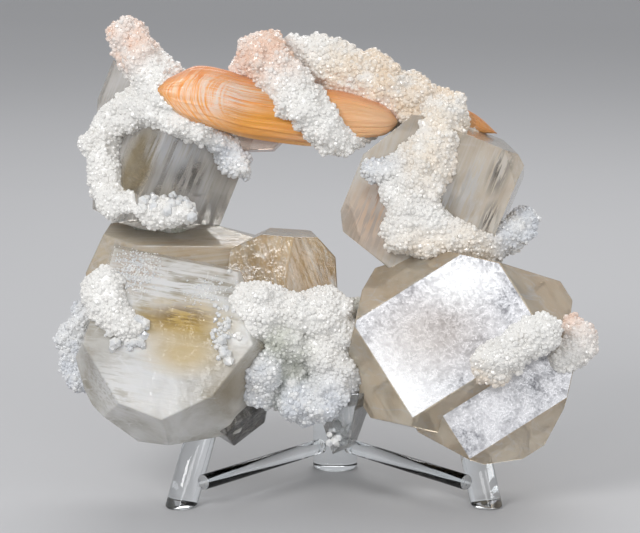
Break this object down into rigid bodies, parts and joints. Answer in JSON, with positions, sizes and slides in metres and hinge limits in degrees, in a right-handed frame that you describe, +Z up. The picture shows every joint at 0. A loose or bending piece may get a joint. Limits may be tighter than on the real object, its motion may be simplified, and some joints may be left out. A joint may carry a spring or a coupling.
{
  "type": "apophyllite cluster",
  "caption": "Glassy apophyllite crystals grown together in an open arch with stilbite and white quartz druse, held up by a clear rod stand.",
  "frame": {"origin": "middle of the footprint box, on the surface that the stand's feet rest on", "axes": "+Z up, +X along the cluster's width, the good side looks towards -Y"},
  "size_m": [0.2206, 0.1062, 0.1992],
  "materials": {
    "apophyllite": "glassy, pearly on the flat ends",
    "clear_acrylic": "polished clear",
    "stilbite": "pearly",
    "quartz_druse": "sparkling, sugary"
  },
  "bodies": {
    "root": {"apophyllite_cluster": "apophyllite", "leg_left": "clear_acrylic", "leg_right": "clear_acrylic", "leg_back": "clear_acrylic", "rail_left": "clear_acrylic", "rail_right": "clear_acrylic"}
  },
  "joints": []
}
